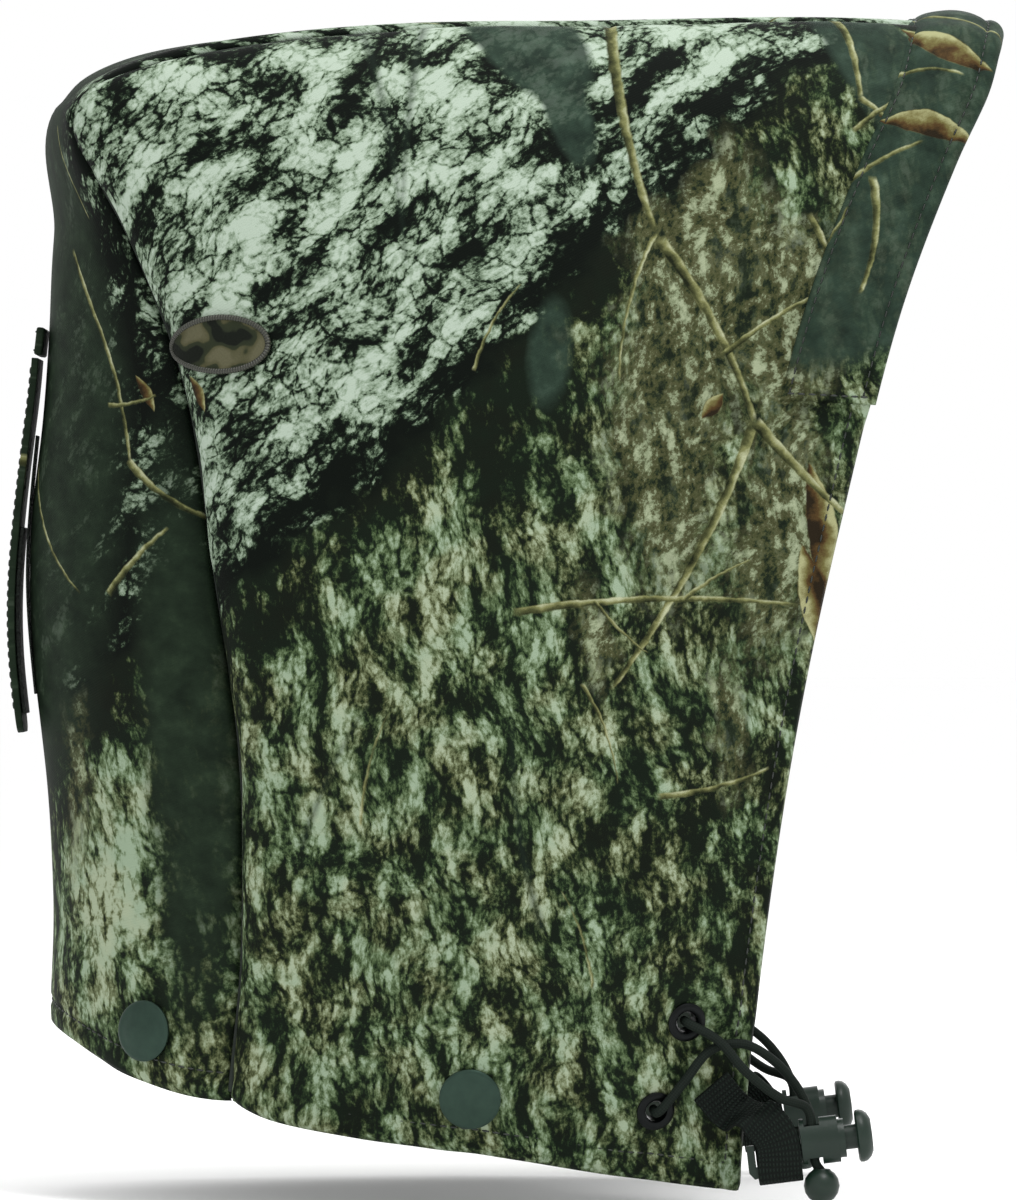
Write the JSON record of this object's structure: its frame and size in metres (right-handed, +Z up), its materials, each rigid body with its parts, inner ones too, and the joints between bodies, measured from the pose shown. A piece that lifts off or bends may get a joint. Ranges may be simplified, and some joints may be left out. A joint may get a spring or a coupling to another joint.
{
  "type": "detachable hood",
  "caption": "Detachable field hood in bark and twig camouflage with a stiffened visor, snap fasteners along the hem, elastic face cords in spring cord locks and a rear adjuster tab",
  "frame": {"origin": "centre of the neck opening, level with the lowest points of the hem", "axes": "+Z up along the wearer's neck, -Y the way the wearer faces, -X the wearer's right"},
  "size_m": [0.219, 0.3194, 0.3808],
  "materials": {
    "camo_cloth": "woven polyester with a matte printed bark and twig pattern",
    "lining": "plain dark green brushed knit",
    "stiffener": "closed-cell foam sheet",
    "gunmetal": "satin gunmetal plating",
    "black_metal": "satin black lacquer on brass",
    "lock_plastic": "moulded acetal, satin dark green",
    "spring_steel": "bright spring wire",
    "webbing": "ribbed nylon webbing",
    "elastic_cord": "braided cover over an elastic core",
    "hook_tape": "hook-and-loop tape",
    "badge_cloth": "embroidered oval patch"
  },
  "bodies": {
    "hood": {"centre_hem_facing": "camo_cloth", "centre_lining": "lining", "centre_panel": "camo_cloth", "left_back_snap_cap": "gunmetal", "left_back_snap_socket": "gunmetal", "left_cord_ball": "lock_plastic", "left_cord_lower": "elastic_cord", "left_cord_tail": "elastic_cord", "left_cord_upper": "elastic_cord", "left_face_facing": "camo_cloth", "left_hem_facing": "camo_cloth", "left_lock_body": "lock_plastic", "left_lock_spring": "spring_steel", "left_lock_strap": "webbing", "left_lower_eyelet": "black_metal", "left_lower_eyelet_washer": "black_metal", "left_side_lining": "lining", "left_side_panel": "camo_cloth", "left_side_snap_cap": "gunmetal", "left_side_snap_socket": "gunmetal", "left_upper_eyelet": "black_metal", "left_upper_eyelet_washer": "black_metal", "oval_badge": "badge_cloth", "rear_tab_anchor": "camo_cloth", "rear_tab_loop": "hook_tape", "right_back_snap_cap": "gunmetal", "right_back_snap_socket": "gunmetal", "right_cord_ball": "lock_plastic", "right_cord_lower": "elastic_cord", "right_cord_tail": "elastic_cord", "right_cord_upper": "elastic_cord", "right_face_facing": "camo_cloth", "right_hem_facing": "camo_cloth", "right_lock_body": "lock_plastic", "right_lock_spring": "spring_steel", "right_lock_strap": "webbing", "right_lower_eyelet": "black_metal", "right_lower_eyelet_washer": "black_metal", "right_side_lining": "lining", "right_side_panel": "camo_cloth", "right_side_snap_cap": "gunmetal", "right_side_snap_socket": "gunmetal", "right_upper_eyelet": "black_metal", "right_upper_eyelet_washer": "black_metal", "visor_casing": "camo_cloth", "visor_facing": "camo_cloth", "visor_stiffener": "stiffener"},
    "right_button": {"right_lock_button": "lock_plastic"},
    "left_button": {"left_lock_button": "lock_plastic"},
    "tab": {"rear_tab": "camo_cloth", "rear_tab_hook": "hook_tape"}
  },
  "joints": [
    {"name": "right_button_press", "type": "slide", "parent": "hood", "child": "right_button", "axis": [0, 0.9925, -0.1219], "range_m": [0, 0.0034], "stiffness_N_per_m": 300, "deforming": ["right_lock_spring"]},
    {"name": "left_button_press", "type": "slide", "parent": "hood", "child": "left_button", "axis": [0, 0.9925, -0.1219], "range_m": [0, 0.0034], "stiffness_N_per_m": 300, "deforming": ["left_lock_spring"]},
    {"name": "rear_tab_lift", "type": "hinge", "parent": "hood", "child": "tab", "pos_m": [0, 0.12218, 0.2675], "axis": [1, 0, 0], "range_deg": [0, 150]}
  ]
}
